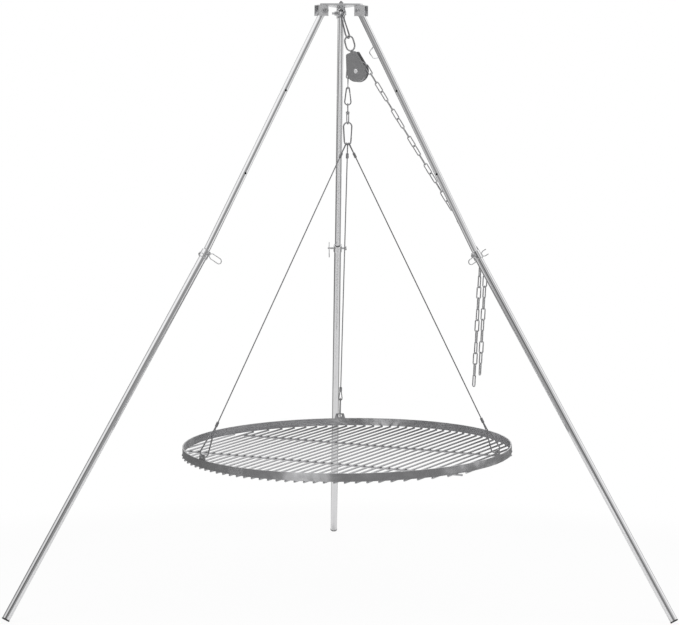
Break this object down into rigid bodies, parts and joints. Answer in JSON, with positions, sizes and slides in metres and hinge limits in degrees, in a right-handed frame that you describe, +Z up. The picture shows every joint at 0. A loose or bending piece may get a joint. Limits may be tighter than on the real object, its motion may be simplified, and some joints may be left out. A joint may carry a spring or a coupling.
{
  "type": "tripod swing grill",
  "caption": "Tripod of sleeved steel tubes with a chain hoist: a pulley block carries a round grate on wire ropes over an open fire.",
  "frame": {"origin": "centre of the object's bounding box on the ground, under the middle of the three feet's spread", "axes": "+X to the right foot's side across the two front legs, +Y to the rear leg, +Z up"},
  "size_m": [1.5194, 1.3187, 1.4242],
  "materials": {
    "polished_steel": "bright polished stainless steel",
    "brushed_steel": "brushed stainless steel",
    "satin_steel": "satin pressed steel sheet",
    "zinc_wire": "bright welded chain wire",
    "wire_rope": "laid stainless wire rope",
    "black_plastic": "matt black moulded plastic"
  },
  "bodies": {
    "tripod": {"head_plate": "polished_steel", "bracket_left": "polished_steel", "bracket_rear": "polished_steel", "bracket_right": "polished_steel", "hinge_bolt_left": "polished_steel", "hinge_bolt_rear": "polished_steel", "hinge_bolt_right": "polished_steel", "hinge_nut_left": "polished_steel", "hinge_nut_rear": "polished_steel", "hinge_nut_right": "polished_steel", "eye_bolt": "polished_steel", "eye_nut": "polished_steel", "hanger_hook": "polished_steel", "swivel_link": "zinc_wire", "block_crown": "satin_steel", "cheek_front": "satin_steel", "cheek_rear": "satin_steel", "sheave_axle": "polished_steel", "chain_over_sheave": "zinc_wire", "chain_run": "zinc_wire", "upper_tube_right": "polished_steel", "lower_tube_right": "polished_steel", "collar_right": "polished_steel", "lock_pin_right": "polished_steel", "foot_plug_right": "black_plastic"},
    "hanger_gate": {"hanger_hook_gate": "polished_steel"},
    "clip_right": {"pin_clip_right": "zinc_wire"},
    "sheave_wheel": {"sheave": "brushed_steel"},
    "tail": {"chain_tail": "zinc_wire"},
    "fall": {"fall_link": "zinc_wire"},
    "hook": {"chain_hook": "polished_steel", "swivel_eye": "zinc_wire"},
    "hook_gate": {"chain_hook_gate": "polished_steel"},
    "grate": {"swivel_bow": "zinc_wire", "rope_hook": "polished_steel", "rope_left": "wire_rope", "rope_rear": "wire_rope", "rope_right": "wire_rope", "low_hook_left": "polished_steel", "low_hook_rear": "polished_steel", "low_hook_right": "polished_steel", "grate_ring": "brushed_steel", "grate_rods": "brushed_steel"},
    "rope_hook_gate_body": {"rope_hook_gate": "polished_steel"},
    "leg_left": {"upper_tube_left": "polished_steel"},
    "lower_leg_left": {"lower_tube_left": "polished_steel", "collar_left": "polished_steel", "lock_pin_left": "polished_steel", "foot_plug_left": "black_plastic"},
    "clip_left": {"pin_clip_left": "zinc_wire"},
    "leg_rear": {"upper_tube_rear": "polished_steel"},
    "lower_leg_rear": {"lower_tube_rear": "polished_steel", "collar_rear": "polished_steel", "lock_pin_rear": "polished_steel", "foot_plug_rear": "black_plastic"},
    "clip_rear": {"pin_clip_rear": "zinc_wire"},
    "low_gate_left": {"low_hook_left_gate": "polished_steel"},
    "low_gate_rear": {"low_hook_rear_gate": "polished_steel"},
    "low_gate_right": {"low_hook_right_gate": "polished_steel"}
  },
  "joints": [
    {"name": "leg_left_fold", "type": "hinge", "parent": "tripod", "child": "leg_left", "pos_m": [-0.0433, -0.24204, 1.3987], "axis": [0.5, -0.866, 0], "range_deg": [0, 4]},
    {"name": "leg_left_extend", "type": "slide", "parent": "leg_left", "child": "lower_leg_left", "axis": [-0.453, -0.2615, -0.8523], "range_m": [0, 0.03]},
    {"name": "clip_left_pull", "type": "slide", "parent": "lower_leg_left", "child": "clip_left", "axis": [0.7381, 0.4261, -0.5231], "range_m": [0, 0.03]},
    {"name": "leg_rear_fold", "type": "hinge", "parent": "tripod", "child": "leg_rear", "pos_m": [0, -0.16704, 1.3987], "axis": [-1, 0, 0], "range_deg": [0, 4]},
    {"name": "leg_rear_extend", "type": "slide", "parent": "leg_rear", "child": "lower_leg_rear", "axis": [0, 0.5231, -0.8523], "range_m": [0, 0.03]},
    {"name": "clip_rear_pull", "type": "slide", "parent": "lower_leg_rear", "child": "clip_rear", "axis": [0, -0.8523, -0.5231], "range_m": [0, 0.03]},
    {"name": "clip_right_pull", "type": "slide", "parent": "tripod", "child": "clip_right", "axis": [-0.7381, 0.4261, -0.5231], "range_m": [0, 0.03]},
    {"name": "sheave_spin", "type": "hinge", "parent": "tripod", "child": "sheave_wheel", "pos_m": [0.0402, -0.23818, 1.2546], "axis": [0.4655, 0.885, 0], "continuous": true},
    {"name": "tail_swing", "type": "hinge", "parent": "tripod", "child": "tail", "pos_m": [0.32776, -0.38549, 0.81869], "axis": [0.4655, 0.885, 0], "range_deg": [-8, 2]},
    {"name": "fall_swing", "type": "hinge", "parent": "tripod", "child": "fall", "pos_m": [0.01719, -0.22608, 1.24081], "axis": [0.4655, 0.885, 0], "range_deg": [-0.5, 5]},
    {"name": "hook_swing", "type": "hinge", "parent": "fall", "child": "hook", "pos_m": [0.01719, -0.22608, 1.21481], "axis": [0.885, -0.4655, 0], "range_deg": [-5, 5]},
    {"name": "grate_swivel", "type": "hinge", "parent": "hook", "child": "grate", "pos_m": [0.01719, -0.22608, 1.15511], "axis": [0, 0, 1], "continuous": true},
    {"name": "hanger_gate_swing", "type": "hinge", "parent": "tripod", "child": "hanger_gate", "pos_m": [0.01563, -0.21529, 1.35613], "axis": [0.8431, -0.4435, 0.304], "range_deg": [0, 10], "stiffness_Nm_per_rad": 0.05},
    {"name": "hook_gate_swing", "type": "hinge", "parent": "hook", "child": "hook_gate", "pos_m": [0.02368, -0.22608, 1.19056], "axis": [0, -1, 0], "range_deg": [0, 10], "stiffness_Nm_per_rad": 0.05},
    {"name": "rope_hook_gate_swing", "type": "hinge", "parent": "grate", "child": "rope_hook_gate_body", "pos_m": [0.02576, -0.22608, 1.09783], "axis": [0, -1, 0], "range_deg": [0, 10], "stiffness_Nm_per_rad": 0.05},
    {"name": "low_gate_left_swing", "type": "hinge", "parent": "grate", "child": "low_gate_left", "pos_m": [-0.3066, -0.41617, 0.35989], "axis": [0.503, -0.8643, 0.005], "range_deg": [0, 10], "stiffness_Nm_per_rad": 0.05},
    {"name": "low_gate_rear_swing", "type": "hinge", "parent": "grate", "child": "low_gate_rear", "pos_m": [0.0089, 0.15037, 0.39415], "axis": [-0.9996, -0.0279, -0.0033], "range_deg": [0, 10], "stiffness_Nm_per_rad": 0.05},
    {"name": "low_gate_right_swing", "type": "hinge", "parent": "grate", "child": "low_gate_right", "pos_m": [0.35396, -0.40232, 0.3708], "axis": [0.4664, 0.8846, -0.0012], "range_deg": [0, 10], "stiffness_Nm_per_rad": 0.05}
  ]
}
